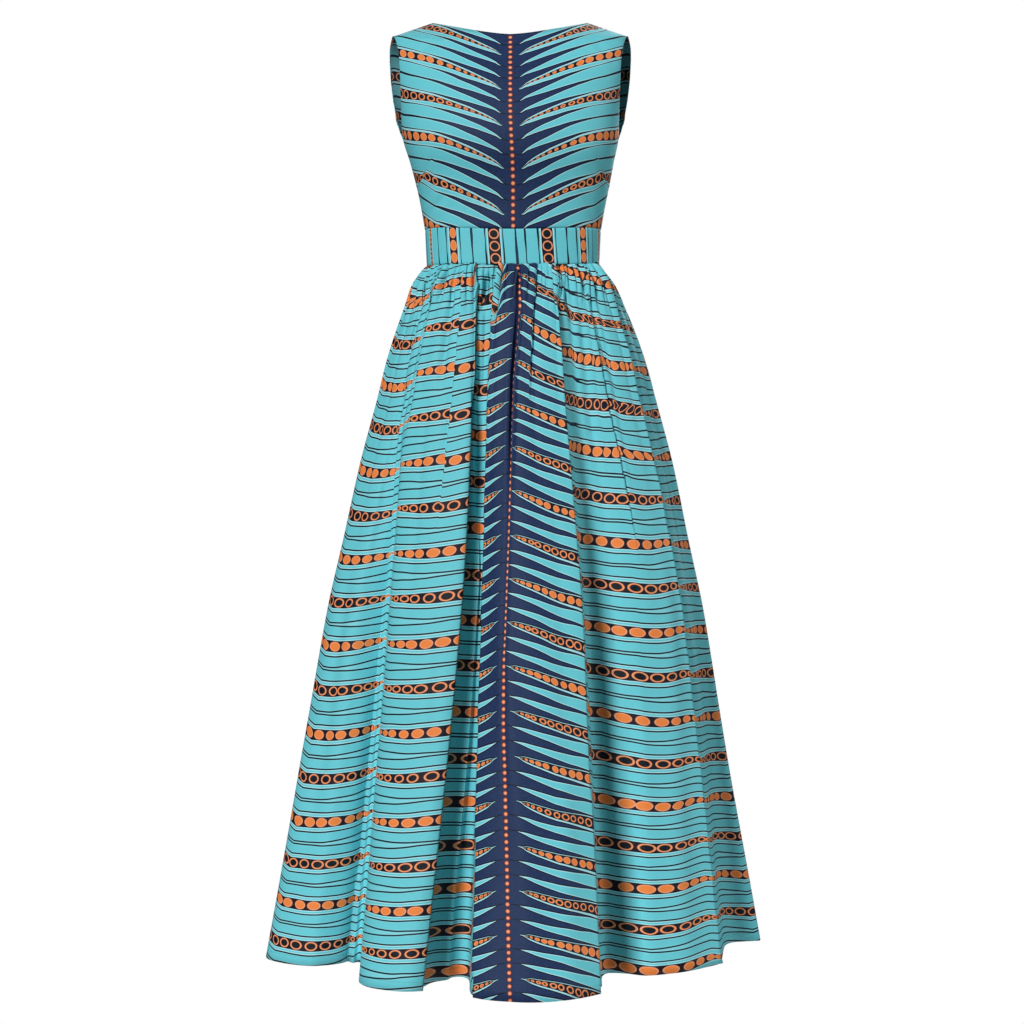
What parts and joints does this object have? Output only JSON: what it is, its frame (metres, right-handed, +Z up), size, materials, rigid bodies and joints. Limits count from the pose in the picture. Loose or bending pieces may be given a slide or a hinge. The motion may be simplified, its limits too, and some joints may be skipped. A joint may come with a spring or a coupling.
{
  "type": "sleeveless wax print dress",
  "caption": "Sleeveless fit-and-flare maxi dress with boat neck, inset waistband and gathered skirt, hollow as worn, with a back zip.",
  "frame": {"origin": "midway between the shoulders, where the wearer carries the dress, 10 mm below the neck ends of the shoulder seams", "axes": "+Z up along the body, -Y the way the dress faces, +X towards the wearer's left"},
  "size_m": [0.7708, 0.6846, 1.4368],
  "materials": {
    "wax_print_cotton": "printed plain-weave cotton, soft sheen",
    "zip_tape": "woven polyester zip tape",
    "zip_metal": "lacquered zip slider and pull"
  },
  "bodies": {
    "dress": {"bodice_front": "wax_print_cotton", "bodice_back_left": "wax_print_cotton", "bodice_back_right": "wax_print_cotton", "waistband_front": "wax_print_cotton", "waistband_back_left": "wax_print_cotton", "waistband_back_right": "wax_print_cotton", "skirt_front": "wax_print_cotton", "skirt_back_left": "wax_print_cotton", "skirt_back_right": "wax_print_cotton", "zip_tape": "zip_tape", "zip_slider": "zip_metal"},
    "pull_tab": {"zip_pull": "zip_metal"}
  },
  "joints": [
    {"name": "pull_tab_swing", "type": "hinge", "parent": "dress", "child": "pull_tab", "pos_m": [-0.0042, 0.06143, -0.00379], "axis": [1, 0, 0], "range_deg": [0, 150]}
  ]
}
